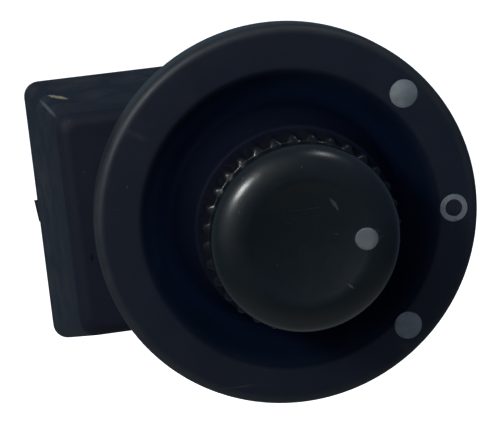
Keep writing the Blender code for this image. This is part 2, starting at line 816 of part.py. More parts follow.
def make_detents():
    """A hollow plunger on a spring above the rotor, and one below it, each with its empty."""
    profile = [(0.0, PLUNGER_TIP + 1.5), (1.5, PLUNGER_TIP + 1.5), (1.5, PLUNGER_TOP)]
    profile += [(PLUNGER_RADIUS, PLUNGER_TOP)]
    profile += arc((0.0, PLUNGER_TIP + 2.0), (PLUNGER_RADIUS, 2.0), 0, -90, 5)[:-1]
    profile += [(0.0, PLUNGER_TIP)]
    for name, tilt in (("upper", -math.pi / 2), ("lower", math.pi / 2)):
        axis = new_empty(f"detent_axis_{name}", FRAME)
        axis.location = Vector((0.0, 0.0, DETENT_LEVEL)) * MM
        axis.rotation_euler = (tilt, 0.0, 0.0)
        turned(f"detent_plunger_{name}", profile, STEEL, axis, segments=20)
        start = PLUNGER_TIP + 1.5 + 0.5
        end = GUIDE_BORE_TOP - 0.5
        coil(f"detent_spring_{name}", 1.0, 0.22, start, end, 4.5, STEEL, axis)


clear_scene()
PARTS = new_collection("battery_switch")
CUTTERS = new_collection("cutters")
CUTTERS.hide_render = True
FRAME = new_empty("switch_frame")
FRAME.rotation_euler = (math.pi / 2, 0.0, 0.0)
ROTOR_AXIS = new_empty("rotor_axis", FRAME)

CASE_PLASTIC = principled("case_plastic", (0.014, 0.017, 0.024), 0.45)
FACE_PLASTIC = principled("face_plastic", (0.010, 0.013, 0.020), 0.4)
KNOB_PLASTIC = principled("knob_plastic", (0.010, 0.013, 0.016), 0.3)
MARKING = principled("marking", (0.28, 0.30, 0.32), 0.5)
INSULATOR = principled("insulator", (0.35, 0.08, 0.05), 0.55)
RUBBER = principled("rubber", (0.02, 0.02, 0.02), 0.8)
BRASS = principled("brass", (0.70, 0.52, 0.26), 0.3, 1.0)
COPPER = principled("copper", (0.75, 0.38, 0.25), 0.3, 1.0)
STEEL = principled("steel", (0.58, 0.58, 0.60), 0.3, 1.0)

make_case()
make_cover()
make_escutcheon()
make_bushing()
make_spindle()
make_knob()
make_rotor()
make_fixed_contacts()
make_terminals()
make_detents()
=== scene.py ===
"""The looks of a rotary battery selector switch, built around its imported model.

Shapes are made lying on their back, as in a workshop: X right, Y up the panel and Z out of the
front, in millimetres, with Z = 0 on the case's front face. STAND turns them into the row frame.
"""

import json
import math

import bmesh
import bpy
from mathutils import Matrix, Vector


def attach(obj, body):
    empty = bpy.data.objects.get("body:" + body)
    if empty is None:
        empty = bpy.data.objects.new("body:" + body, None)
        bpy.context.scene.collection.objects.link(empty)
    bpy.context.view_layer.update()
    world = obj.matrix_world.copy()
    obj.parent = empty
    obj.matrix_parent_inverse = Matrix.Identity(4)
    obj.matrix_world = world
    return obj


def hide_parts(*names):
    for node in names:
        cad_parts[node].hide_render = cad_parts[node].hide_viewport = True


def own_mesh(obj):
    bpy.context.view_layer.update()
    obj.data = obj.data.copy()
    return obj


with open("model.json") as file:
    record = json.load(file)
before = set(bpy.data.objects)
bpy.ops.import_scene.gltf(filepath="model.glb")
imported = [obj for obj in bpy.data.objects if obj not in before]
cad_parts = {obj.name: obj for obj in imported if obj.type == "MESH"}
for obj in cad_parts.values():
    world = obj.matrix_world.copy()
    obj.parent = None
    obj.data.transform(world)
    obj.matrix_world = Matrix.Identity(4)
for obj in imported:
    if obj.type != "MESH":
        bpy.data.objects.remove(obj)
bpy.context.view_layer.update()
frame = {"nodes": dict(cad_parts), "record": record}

STAND = Matrix.Rotation(math.pi / 2, 4, "X") @ Matrix.Scale(0.001, 4)
GAP = 0.3

# Case and cover
CASE_LEFT = -50.4
CASE_RIGHT = 28.4
CASE_TOP = 28.6
CASE_BOTTOM = -30.0
CASE_DEPTH = 33.0
CASE_WALL = 2.6
SIDE_DRAFT = 5.7
TOP_DRAFT = 3.3
BOTTOM_DRAFT = 8.4
CASE_ROUNDING = 2.6
CASE_CORNER_RADIUS = 3.4
SEAL_FRONT = -CASE_DEPTH - GAP
COVER_FRONT = SEAL_FRONT - 1.0 - GAP
COVER_BACK = COVER_FRONT - 2.4
PILLAR_RADIUS = 3.4
PILLAR_LENGTH = 12.0
SCREW_HOLE_RADIUS = 1.6
SCREW_HOLE_DEPTH = 10
BUSHING_HOLE_RADIUS = 7.3
STUD_HOLE_RADIUS = 3.3
BARRIER_DEPTH = 7.0
PILLARS = [(x, y) for y in (22.4, -22.4) for x in (-44.6, 21.8)]
TERMINALS = {
    "battery_1": (-37.0, 15.0),
    "common": (-26.5, 0.0),
    "battery_2": (-37.0, -15.0),
}

# Terminals
STUD_END = -52.0
STUD_RADIUS = 3.0
THREAD_PITCH = 1.0
WASHER_THICKNESS = 1.2
LOCK_WASHER_THICKNESS = 1.5
NUT_HEIGHT = 5.0
ACROSS_FLATS = 10.0

# Detents
DETENT_LEVEL = -16.8
DETENT_BLOCKS = ((15.6, 25.6), (-24.3, -15.6))
DETENT_BLOCK_HALF = 4.2
DETENT_BLOCK_BACK = -21.3
DETENT_BLOCK_FRONT = -12.3
DETENT_BORE = (13.6, 22.6)
DETENT_BORE_RADIUS = 2.5
SPRING_RADIUS = 1.0
SPRING_WIRE = 0.22
SPRING_START = 16.35
SPRING_END = 22.1

# Round plate
FLANGE_RADIUS = 40.0
FLANGE_BACK = 1.6
FLANGE_FACE = 9.1
TROUGH = FLANGE_FACE - 4.4
HUB_TOP = FLANGE_FACE + 8.6
HUB_BORE = 17.5
MARK_CIRCLE = 34.7
MARK_RADIUS = 2.95
MARK_BORE = 1.75
MARK_PLAY = 0.06
PLATE_TURN = math.radians(-3.9)
OFF_PLACE = (MARK_CIRCLE * math.cos(PLATE_TURN), MARK_CIRCLE * math.sin(PLATE_TURN))

# Knob
RIB_COUNT = 32
RIB_RADIUS = 20.0
KNOB_RADIUS = 18.8
KNOB_BOTTOM = HUB_TOP + 0.6
KNOB_SHOULDER = FLANGE_FACE + 20.4
KNOB_TOP = FLANGE_FACE + 24.8
RIB_TOP = FLANGE_FACE + 16.6
DISH_RADIUS = 12.4
DISH_DEPTH = 1.8
DOT_CIRCLE = 11.4
DOT_PLACE = (DOT_CIRCLE * math.cos(PLATE_TURN), DOT_CIRCLE * math.sin(PLATE_TURN))
DOT_RADIUS = 2.25

# Colours of worn plastic, and of painted highlights and reflections on it
CHIP = (0.17, 0.145, 0.10)
CORNER_PAINTED_HIGHLIGHT = (0.040, 0.050, 0.062)
KNOB_FACE_PAINTED_REFLECTION = (0.028, 0.031, 0.033)
NICK = (0.0015, 0.0020, 0.0040)
RIM_WEAR_AND_HIGHLIGHT = (0.0150, 0.0175, 0.0200, 1.0)
RIB_DUST = (0.0044, 0.0050, 0.0068, 1.0)

# The well's painted shade, as shares of the plastic's own colour: darkest on the hub's side facing
# the light, and painted lighter on the wall's upper left, which faces away from the light
WELL_SHADE_HUB_LIT_SIDE = (0.05, 0.20, 0.37)
WELL_SHADE_HUB = (0.24, 0.50, 0.80)
WELL_SHADE_GROUND = (0.24, 0.55, 0.92)
WELL_SHADE_WALL = (0.30, 0.72, 0.92)
WELL_PAINTED_LIGHT_WALL = (2.4, 3.6, 4.0)

# Where the plate's and the knob's colours change, as distances from a middle, in metres
WELL_MIDDLE = (0.0005, -0.0010)
WELL_OUTER_EDGE = (0.0316, 0.0289)
WELL_INNER_EDGE = (0.0203, 0.0234)
GROUND_START = (0.0238, 0.0256)
WALL_START = (0.0258, 0.0280)
RIM_START = (0.0378, 0.0390)
RIB_START = (0.0187, 0.0191)

# Camera
CAMERA_ANGLES = (-6.71, 11.8, -6.03)
CAMERA_DISTANCE = 0.4
CAMERA_SHIFT = (0.0203, 0.0032)
CAMERA_LENS = 139.9


# Materials


def add(tree, kind, inputs=None, **settings):
    """A new shader node, with its settings, and its inputs given as values or as sockets."""
    made = tree.nodes.new(kind)
    for name, value in settings.items():
        setattr(made, name, value)
    for key, value in (inputs or {}).items():
        if isinstance(value, bpy.types.NodeSocket):
            tree.links.new(value, made.inputs[key])
        else:
            made.inputs[key].default_value = value
    return made


def blank_material(name):
    material = bpy.data.materials.new(name)
    material.use_nodes = True
    tree = material.node_tree
    return material, tree, tree.nodes["Principled BSDF"]


def coordinates(tree, scale=(1.0, 1.0, 1.0), turn=(0.0, 0.0, 0.0)):
    source = add(tree, "ShaderNodeTexCoord")
    inputs = {"Vector": source.outputs["Object"], "Rotation": turn, "Scale": scale}
    return add(tree, "ShaderNodeMapping", inputs).outputs["Vector"]


def noise(tree, vector, scale, detail=3.0, rough=0.5):
    inputs = {"Vector": vector, "Scale": scale, "Detail": detail, "Roughness": rough}
    return add(tree, "ShaderNodeTexNoise", inputs).outputs["Fac"]


def remap(tree, value, low, high, out_low=0.0, out_high=1.0):
    inputs = {0: value, 1: low, 2: high, 3: out_low, 4: out_high}
    return add(tree, "ShaderNodeMapRange", inputs, clamp=True).outputs["Result"]


def math_node(tree, operation, first, second):
    inputs = {0: first, 1: second}
    return add(tree, "ShaderNodeMath", inputs, operation=operation).outputs["Value"]


def mix_colour(tree, share, first, second):
    inputs = {"Factor": share, 6: first, 7: second}
    return add(tree, "ShaderNodeMix", inputs, data_type="RGBA").outputs[2]


def grey(level):
    return (level, level, level, 1.0)


def scratches(tree, turn, density, scale=1.0):
    """Thin hairlines along one direction, 0 almost everywhere and 1 on a line."""
    vector = coordinates(tree, (40 * scale, 2400 * scale, 2400 * scale), turn)
    lines = noise(tree, vector, 1.0, 2.0, 0.6)
    patches = noise(tree, coordinates(tree), 55.0 * scale, 2.0)
    fine = remap(tree, lines, density, density + 0.05)
    return math_node(tree, "MULTIPLY", fine, remap(tree, patches, 0.45, 0.6))


def specks(tree, scale, size):
    """Sparse round specks of dust: 1 on a speck."""
    inputs = {"Vector": coordinates(tree), "Scale": scale, "Randomness": 1.0}
    cells = add(tree, "ShaderNodeTexVoronoi", inputs)
    near = remap(tree, cells.outputs["Distance"], size, size * 0.6)
    chosen = add(tree, "ShaderNodeSeparateColor", {0: cells.outputs["Color"]})
    rare = remap(tree, chosen.outputs[0], 0.86, 0.88)
    return math_node(tree, "MULTIPLY", near, rare)


def nick(tree, place, reach, turn=(0.0, 0.0, 0.0)):
    """1 inside one small ragged mark: its middle, its half lengths, and how it is turned."""
    source = add(tree, "ShaderNodeTexCoord").outputs["Object"]
    frame_of_mark = {"Vector": source, "Location": place, "Rotation": turn, "Scale": reach}
    inside = add(tree, "ShaderNodeMapping", frame_of_mark, vector_type="TEXTURE").outputs["Vector"]
    away = add(tree, "ShaderNodeVectorMath", {0: inside}, operation="LENGTH").outputs["Value"]
    rough = remap(tree, noise(tree, source, 2200.0, 2.0), 0.3, 0.7, -0.35, 0.35)
    return remap(tree, math_node(tree, "ADD", away, rough), 1.0, 0.8)


def away_from(tree, x=0.0, z=0.0):
    """The distance from a line along Y, which is the knob's axis unless x and z say otherwise."""
    source = add(tree, "ShaderNodeTexCoord").outputs["Object"]
    line = {0: source, 1: (x, 0.0, z)}
    moved = add(tree, "ShaderNodeVectorMath", line, operation="SUBTRACT").outputs["Vector"]
    flat = {0: moved, 1: (1.0, 0.0, 1.0)}
    level = add(tree, "ShaderNodeVectorMath", flat, operation="MULTIPLY").outputs["Vector"]
    return add(tree, "ShaderNodeVectorMath", {0: level}, operation="LENGTH").outputs["Value"]


def in_well(tree):
    """1 in the well round the knob, where the plastic's colour gets painted shade, and 0 on the
    plate's face.
    """
    outer = remap(tree, away_from(tree, *WELL_MIDDLE), *WELL_OUTER_EDGE)
    inner = remap(tree, away_from(tree), *WELL_INNER_EDGE, 0.3, 1.0)
    return math_node(tree, "MULTIPLY", outer, inner)


def well_colour(tree, colour):
    """Painted shade for the well: darkest on the hub's side facing the light, and painted light on
    the wall's upper left, which faces away from the light.
    """
    hub, hub_away_from_light, ground, wall, painted_light_wall = (
        (*(c * share for c, share in zip(colour, shares)), 1.0)
        for shares in (WELL_SHADE_HUB_LIT_SIDE, WELL_SHADE_HUB, WELL_SHADE_GROUND, WELL_SHADE_WALL, WELL_PAINTED_LIGHT_WALL)
    )
    source = add(tree, "ShaderNodeTexCoord").outputs["Object"]
    to_upper_left = {0: source, 1: (-0.707, 0.0, 0.707)}
    leaning = add(tree, "ShaderNodeVectorMath", to_upper_left, operation="DOT_PRODUCT")
    lean = leaning.outputs["Value"]
    # Painted shade: the hub's upper left, which faces the light, is painted darkest.
    inside = mix_colour(tree, remap(tree, lean, 0.020, -0.004), hub, hub_away_from_light)
    # Painted light: the wall's upper left, which faces away from the light, is painted up to four
    # times lighter.
    outside = mix_colour(tree, remap(tree, lean, 0.0, 0.029), wall, painted_light_wall)
    away = away_from(tree)
    low = mix_colour(tree, remap(tree, away, *GROUND_START), inside, ground)
    return mix_colour(tree, remap(tree, away, *WALL_START), low, outside)


def moulded(
    name,
    colour,
    rough,
    grain,
    grain_size,
    wave,
    wear=0.5,
    dust=0.25,
    specular=0.5,
    well=False,
    ribs=False,
    nicks_and_highlights=(),
):
    """Moulded plastic: an eggshell grain over slow waves, handling haze, hairlines and dust."""
    material, tree, shader = blank_material(name)
    vector = coordinates(tree)
    blotch = noise(tree, vector, 70.0, 4.0, 0.6)
    haze = noise(tree, vector, 160.0, 5.0, 0.65)
    pits = noise(tree, vector, grain_size, 2.0, 0.6)
    swell = noise(tree, vector, 85.0, 1.0)
    dark = (*(c * 0.9 for c in colour), 1.0)
    light = (*(c * 1.12 for c in colour), 1.0)
    tint = mix_colour(tree, remap(tree, blotch, 0.3, 0.7), dark, light)
    hairs = math_node(
        tree,
        "MAXIMUM",
        scratches(tree, (0.3, 0.2, 0.5), 0.70),
        scratches(tree, (1.1, 0.7, 2.1), 0.71, 0.8),
    )
    bent = add(tree, "ShaderNodeNewGeometry").outputs["Pointiness"]
    edges = remap(tree, bent, 0.515, 0.56)
    ragged = math_node(tree, "MULTIPLY", edges, remap(tree, haze, 0.42, 0.62))
    tint = mix_colour(tree, math_node(tree, "MULTIPLY", hairs, wear), tint, grey(0.05))
    tint = mix_colour(tree, math_node(tree, "MULTIPLY", ragged, wear * 0.5), tint, grey(0.05))
    dusty = math_node(tree, "MULTIPLY", specks(tree, 620.0, 0.10), dust)
    tint = mix_colour(tree, dusty, tint, grey(0.22))
    for place, reach, turn, shade in nicks_and_highlights:
        tint = mix_colour(tree, nick(tree, place, reach, turn), tint, (*shade, 1.0))
    gloss = remap(tree, haze, 0.25, 0.75, rough - 0.06, rough + 0.08)
    gloss = math_node(tree, "ADD", gloss, math_node(tree, "MULTIPLY", hairs, 0.12))
    shader.inputs["IOR"].default_value = 1.48
    shader.inputs["Specular IOR Level"].default_value = specular
    if well:
        # Painted shade: the well round the knob is darkened in its colour, and its specular is
        # lowered there.
        well_shade = in_well(tree)
        tint = mix_colour(tree, well_shade, tint, well_colour(tree, colour))
        # The plate's rim is painted lighter: partly edge wear, partly a painted highlight for its
        # lit edge.
        rim_wear_and_highlight = math_node(
            tree,
            "MULTIPLY",
            remap(tree, away_from(tree), *RIM_START),
            remap(tree, haze, 0.3, 0.6, 0.6, 1.0),
        )
        tint = mix_colour(tree, rim_wear_and_highlight, tint, RIM_WEAR_AND_HIGHLIGHT)
        gloss = math_node(tree, "ADD", gloss, math_node(tree, "MULTIPLY", well_shade, 0.2))
        shine = remap(tree, well_shade, 0.0, 0.3, specular, 0.03)
        tree.links.new(shine, shader.inputs["Specular IOR Level"])
    if ribs:
        dusty_ribs = remap(tree, away_from(tree), *RIB_START)
        tint = mix_colour(tree, dusty_ribs, tint, RIB_DUST)
        shine = remap(tree, dusty_ribs, 0.0, 1.0, specular, 0.2)
        tree.links.new(shine, shader.inputs["Specular IOR Level"])
    tree.links.new(tint, shader.inputs["Base Color"])
    tree.links.new(gloss, shader.inputs["Roughness"])
    slow = add(
        tree, "ShaderNodeBump", {"Height": swell, "Strength": wave, "Distance": 0.0008}
    ).outputs["Normal"]
    fine = add(
        tree,
        "ShaderNodeBump",
        {"Height": pits, "Strength": grain, "Distance": 0.00006, "Normal": slow},
    ).outputs["Normal"]
    cut = add(
        tree,
        "ShaderNodeBump",
        {"Height": hairs, "Strength": 0.35, "Distance": 0.00004, "Normal": fine},
        invert=True,
    )
    tree.links.new(cut.outputs["Normal"], shader.inputs["Normal"])
    return material


def printed(name, colour):
    """Filled marks: matt grey with faint mottling and worn patches."""
    material, tree, shader = blank_material(name)
    vector = coordinates(tree)
    cloud = noise(tree, vector, 420.0, 4.0, 0.6)
    fine = noise(tree, vector, 2600.0, 2.0)
    dark = (*(c * 0.72 for c in colour), 1.0)
    light = (*(c * 1.12 for c in colour), 1.0)
    tint = mix_colour(tree, remap(tree, cloud, 0.3, 0.7), dark, light)
    rubbed = math_node(tree, "MULTIPLY", specks(tree, 700.0, 0.22), 0.6)
    tint = mix_colour(tree, rubbed, tint, grey(0.04))
    grime = (*(c * 0.52 for c in colour), 1.0)
    tint = mix_colour(tree, remap(tree, away_from(tree), 0.022, 0.018, 0.0, 0.9), tint, grime)
    tree.links.new(tint, shader.inputs["Base Color"])
    tree.links.new(remap(tree, cloud, 0.2, 0.8, 0.5, 0.72), shader.inputs["Roughness"])
    bump = add(tree, "ShaderNodeBump", {"Height": fine, "Strength": 0.25, "Distance": 0.00005})
    tree.links.new(bump.outputs["Normal"], shader.inputs["Normal"])
    return material


def metal(name, colour, tarnish, rough, lathe_lines=0.4, spotting=0.4):
    """Turned or pressed metal: fine lines round the Y axis of each part, and tarnish in patches."""
    material, tree, shader = blank_material(name)
    vector = coordinates(tree)
    lines = noise(tree, coordinates(tree, (60.0, 6000.0, 60.0)), 1.0, 2.0)
    cloud = noise(tree, vector, 260.0, 5.0, 0.65)
    spots = remap(tree, noise(tree, vector, 900.0, 4.0, 0.7), 0.55, 0.72)
    tint = mix_colour(tree, remap(tree, cloud, 0.35, 0.7), (*colour, 1.0), (*tarnish, 1.0))
    tint = mix_colour(tree, math_node(tree, "MULTIPLY", spots, spotting), tint, (*tarnish, 1.0))
    tree.links.new(tint, shader.inputs["Base Color"])
    shader.inputs["Metallic"].default_value = 1.0
    gloss = remap(tree, cloud, 0.25, 0.75, rough - 0.08, rough + 0.14)
    tree.links.new(gloss, shader.inputs["Roughness"])
    bump = add(
        tree, "ShaderNodeBump", {"Height": lines, "Strength": lathe_lines, "Distance": 0.00003}
    ).outputs["Normal"]
    pitted = add(
        tree,
        "ShaderNodeBump",
        {"Height": spots, "Strength": 0.2, "Distance": 0.00003, "Normal": bump},
        invert=True,
    )
    tree.links.new(pitted.outputs["Normal"], shader.inputs["Normal"])
    return material


def rubber(name):
    """Matt black rubber with a powdery bloom."""
    material, tree, shader = blank_material(name)
    vector = coordinates(tree)
    bloom = noise(tree, vector, 300.0, 5.0, 0.7)
    grain = noise(tree, vector, 3000.0, 2.0)
    tint = mix_colour(tree, remap(tree, bloom, 0.4, 0.75), grey(0.012), grey(0.035))
    tree.links.new(tint, shader.inputs["Base Color"])
    tree.links.new(remap(tree, bloom, 0.3, 0.7, 0.7, 0.9), shader.inputs["Roughness"])
    bump = add(tree, "ShaderNodeBump", {"Height": grain, "Strength": 0.4, "Distance": 0.00006})
    tree.links.new(bump.outputs["Normal"], shader.inputs["Normal"])
    return material


CASE_PLASTIC = moulded(
    "case_plastic",
    (0.0058, 0.0074, 0.0132),
    rough=0.58,
    grain=0.55,
    grain_size=2600.0,
    wave=0.12,
    specular=0.15,
    nicks_and_highlights=(
        ((-0.0434, 0.0176, 0.0270), (0.0036, 0.0008, 0.0012), (0.0, 0.0, -0.98), CHIP),
        # Painted highlight: a thin light line along the case's rounded top-left corner, standing in
        # for its reflection.
        ((-0.0459, 0.0125, 0.0256), (0.0004, 0.0088, 0.0004), (0.099, 0.0, 0.151), CORNER_PAINTED_HIGHLIGHT),
        ((-0.0409, 0.0, -0.0049), (0.0004, 0.001, 0.0009), (0.0, 0.0, 0.0), NICK),
    ),
)
FACE_PLASTIC = moulded(
    "face_plastic",
    (0.0046, 0.0062, 0.0124),
    rough=0.48,
    grain=0.35,
    grain_size=3200.0,
    wave=0.10,
    wear=0.3,
    specular=0.34,
    well=True,
)
KNOB_PLASTIC = moulded(
    "knob_plastic",
    (0.0042, 0.0060, 0.0066),
    rough=0.27,
    grain=0.14,
    grain_size=3600.0,
    wave=0.12,
    wear=0.4,
    ribs=True,
    nicks_and_highlights=(
        # Painted reflections: two light diagonal marks on the knob's dished face.
        ((0.0056, -0.0322, 0.0069), (0.0017, 0.002, 0.0004), (0.0, 1.05, 0.0), KNOB_FACE_PAINTED_REFLECTION),
        ((0.0074, -0.0322, -0.0098), (0.0011, 0.002, 0.0003), (0.0, 0.75, 0.0), KNOB_FACE_PAINTED_REFLECTION),
    ),
)
MARKING = printed("marking", (0.115, 0.132, 0.142))
INSULATOR = moulded(
    "insulator",
    (0.30, 0.070, 0.040),
    rough=0.5,
    grain=0.4,
    grain_size=2400.0,
    wave=0.1,
    wear=0.3,
)
RUBBER = rubber("rubber")
BRASS = metal("brass", (0.80, 0.60, 0.30), (0.42, 0.29, 0.14), 0.30)
COPPER = metal("copper", (0.85, 0.45, 0.30), (0.45, 0.22, 0.15), 0.32)
STEEL = metal("steel", (0.62, 0.62, 0.63), (0.36, 0.36, 0.37), 0.28, lathe_lines=0.5, spotting=0.25)
SLOTS = {
    "case_plastic": CASE_PLASTIC,
    "face_plastic": FACE_PLASTIC,
    "knob_plastic": KNOB_PLASTIC,
    "marking": MARKING,
    "insulator": INSULATOR,
    "rubber": RUBBER,
    "brass": BRASS,
    "copper": COPPER,
    "steel": STEEL,
}


# Outlines and profiles


def circle(radius, x=0.0, y=0.0, sides=64):
    turns = (2 * math.pi * i / sides for i in range(sides))
    return [(x + radius * math.cos(t), y + radius * math.sin(t)) for t in turns]


def rounded_rectangle(low, high, radius, steps=8):
    corners = ((high[0], high[1]), (low[0], high[1]), (low[0], low[1]), (high[0], low[1]))
    insets = ((-1, -1), (1, -1), (1, 1), (-1, 1))
    points = []
    for quarter, ((x, y), (inset_x, inset_y)) in enumerate(zip(corners, insets)):
        for step in range(steps + 1):
            turn = math.pi / 2 * (quarter + step / steps)
            centre_x = x + inset_x * radius
            centre_y = y + inset_y * radius
            points.append((centre_x + radius * math.cos(turn), centre_y + radius * math.sin(turn)))
    return points


def case_outline(inset, radius, forward=0.0):
    """The case's outline; forward is how much of the way from its back to its front."""
    side = inset + forward * SIDE_DRAFT
    low = (CASE_LEFT + side, CASE_BOTTOM + inset + forward * BOTTOM_DRAFT)
    high = (CASE_RIGHT - side, CASE_TOP - inset - forward * TOP_DRAFT)
    return rounded_rectangle(low, high, radius)


def arc(centre, radii, start, end, steps):
    points = []
    for step in range(steps + 1):
        turn = math.radians(start + (end - start) * step / steps)
        points.append(
            (centre[0] + radii[0] * math.cos(turn), centre[1] + radii[1] * math.sin(turn))
        )
    return points


def eased(start, end, steps):
    points = []
    for step in range(steps + 1):
        share = step / steps
        rise = share * share * (3 - 2 * share)
        points.append(
            (start[0] + (end[0] - start[0]) * share, start[1] + (end[1] - start[1]) * rise)
        )
    return points


def filleted(corners, steps=5):
    """A run of (x, y, radius) corners as points, each corner rounded to its radius."""
    points = []
    for i, (x, y, radius) in enumerate(corners):
        if radius == 0 or i in (0, len(corners) - 1):
            points.append((x, y))
            continue
        here = Vector((x, y))
        to_last = (Vector(corners[i - 1][:2]) - here).normalized()
        to_next = (Vector(corners[i + 1][:2]) - here).normalized()
        half = to_last.angle(to_next) / 2
        reach = radius / math.tan(half)
        centre = here + (to_last + to_next).normalized() * (radius / math.sin(half))
        first = here + to_last * reach - centre
        last = here + to_next * reach - centre
        for step in range(steps + 1):
            share = step / steps
            spoke = (first * (1 - share) + last * share).normalized() * radius
            points.append(tuple(centre + spoke))
    return points


# Shapes


def mesh_from(name, build, angle=40.0):
    shape = bmesh.new()
    build(shape)
    bmesh.ops.transform(shape, matrix=STAND, verts=shape.verts)
    bmesh.ops.recalc_face_normals(shape, faces=shape.faces)
    mesh = bpy.data.meshes.new(name)
    shape.to_mesh(mesh)
    shape.free()
    mesh.shade_smooth()
    mesh.set_sharp_from_angle(angle=math.radians(angle))
    return mesh


def loft(shape, sections, ring=False):
    rings = [[shape.verts.new((x, y, z)) for x, y in outline] for outline, z in sections]
    pairs = list(zip(rings, rings[1:]))
    if ring:
        pairs.append((rings[-1], rings[0]))
    for lower, upper in pairs:
        for i, corner in enumerate(lower):
            after = (i + 1) % len(lower)
            shape.faces.new((corner, lower[after], upper[after], upper[i]))
    if not ring:
        shape.faces.new(reversed(rings[0]))
        shape.faces.new(rings[-1])


def turn(shape, profile, segments=128, swell=None):
    """Turn a profile of (radius, z) points about Z. It closes on itself off the axis.

    swell(angle, row) is added to the radius, for ribs and threads."""
    rings = []
    for row, (radius, z) in enumerate(profile):
        if radius < 1e-6:
            rings.append([shape.verts.new((0.0, 0.0, z))])
            continue
        ring = []
        for i in range(segments):
            angle = 2 * math.pi * i / segments
            out = radius + (swell(angle, row) if swell else 0.0)
            ring.append(shape.verts.new((out * math.cos(angle), out * math.sin(angle), z)))
        rings.append(ring)
    pairs = list(zip(rings, rings[1:]))
    if profile[0][0] > 1e-6 and profile[-1][0] > 1e-6:
        pairs.append((rings[-1], rings[0]))
    for upper, lower in pairs:
        for i in range(segments):
            after = (i + 1) % segments
            if len(upper) == 1:
                shape.faces.new((upper[0], lower[i], lower[after]))
            elif len(lower) == 1:
                shape.faces.new((upper[i], lower[0], upper[after]))
            else:
                shape.faces.new((upper[i], lower[i], lower[after], upper[after]))


def coil(shape, section, start, end, angles, steps):
    """Sweep a section of (radius, height) points round Z, from one height and angle to another."""
    rings = []
    for i in range(steps + 1):
        share = i / steps
        angle = angles[0] + (angles[1] - angles[0]) * share
        z = start + (end - start) * share
        ring = []
        for radius, rise in section:
            point = (radius * math.cos(angle), radius * math.sin(angle), z + rise)
            ring.append(shape.verts.new(point))
        rings.append(ring)
    for near, far in zip(rings, rings[1:]):
        for k, corner in enumerate(near):
            after = (k + 1) % len(near)
            shape.faces.new((corner, near[after], far[after], far[k]))
    shape.faces.new(rings[0])
    shape.faces.new(rings[-1])


def block(shape, low, high):
    size = Vector(high) - Vector(low)
    middle = (Vector(high) + Vector(low)) / 2
    place = Matrix.Translation(middle) @ Matrix.Diagonal(size.to_4d())
    bmesh.ops.create_cube(shape, size=1.0, matrix=place)


def rod(shape, radius, start, end, across=(0.0, 0.0), along="Z", sides=48):
    middle = (start + end) / 2
    if along == "Z":
        place = Matrix.Translation((*across, middle))
    else:
        place = Matrix.Translation((across[0], middle, across[1]))
        place = place @ Matrix.Rotation(math.pi / 2, 4, "X")
    bmesh.ops.create_cone(
        shape,
        cap_ends=True,
        segments=sides,
        radius1=radius,
        radius2=radius,
        depth=abs(end - start),
        matrix=place,
    )


def carve(mesh, operation, *builds):
    """The mesh after Boolean steps with helper shapes, each from a build function."""
    for build in builds:
        body = bpy.data.objects.new("body", mesh)
        tool = bpy.data.objects.new("tool", mesh_from("tool", build))
        for item in (body, tool):
            bpy.context.scene.collection.objects.link(item)
        modifier = body.modifiers.new("cut", "BOOLEAN")
        modifier.operation = operation
        modifier.solver = "EXACT"
        modifier.object = tool
        evaluated = body.evaluated_get(bpy.context.evaluated_depsgraph_get())
        mesh = bpy.data.meshes.new_from_object(evaluated)
        for item in (body, tool):
            bpy.data.objects.remove(item, do_unlink=True)
    mesh.shade_smooth()
    mesh.set_sharp_from_angle(angle=math.radians(40))
    return mesh


def piece(name, mesh, slot, body, *nodes):
    """A finished piece, which stands for its CAD nodes and rides on their body."""
    made = bpy.data.objects.new(name, mesh)
    bpy.context.scene.collection.objects.link(made)
    mesh.materials.clear()
    mesh.materials.append(SLOTS[slot])
    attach(made, body)
    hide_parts(*nodes)
    return made


# Case


def make_case():
    def shell(shape):
        sections = [(case_outline(0.0, CASE_CORNER_RADIUS), -CASE_DEPTH)]
        reach = CASE_ROUNDING
        for inset, z in arc((reach, -reach), (reach, reach), 180, 90, 10):
            corner = CASE_CORNER_RADIUS - 0.5 * inset
            sections.append((case_outline(inset, corner, 1 + z / CASE_DEPTH), z))
        loft(shape, sections)

    def cavity(shape):
        back = case_outline(CASE_WALL, 1.0)
        front = case_outline(CASE_WALL, 1.0, 1 - CASE_WALL / CASE_DEPTH)
        loft(shape, [(back, -CASE_DEPTH - 5), (back, -CASE_DEPTH), (front, -CASE_WALL)])

    def bosses(shape):
        for place in PILLARS:
            rod(shape, PILLAR_RADIUS, GAP - CASE_DEPTH, PILLAR_LENGTH - CASE_DEPTH, place, sides=24)
        for start, end in DETENT_BLOCKS:
            low = (-DETENT_BLOCK_HALF, start, DETENT_BLOCK_BACK)
            block(shape, low, (DETENT_BLOCK_HALF, end, DETENT_BLOCK_FRONT))

    def holes(shape):
        rod(shape, BUSHING_HOLE_RADIUS, -CASE_WALL - 2, 2.0)
        end = SCREW_HOLE_DEPTH - CASE_DEPTH
        for place in PILLARS:
            rod(shape, SCREW_HOLE_RADIUS, -CASE_DEPTH - 2, end, place, sides=16)
        level = (0.0, DETENT_LEVEL)
        for side in (1, -1):
            start, end = (side * reach for reach in DETENT_BORE)
            rod(shape, DETENT_BORE_RADIUS, start, end, level, along="Y", sides=24)

    mesh = mesh_from("case", shell)
    mesh = carve(mesh, "DIFFERENCE", cavity)
    mesh = carve(mesh, "UNION", bosses)
    mesh = carve(mesh, "DIFFERENCE", holes)
    piece("case_moulding", mesh, "case_plastic", "housing", "case")


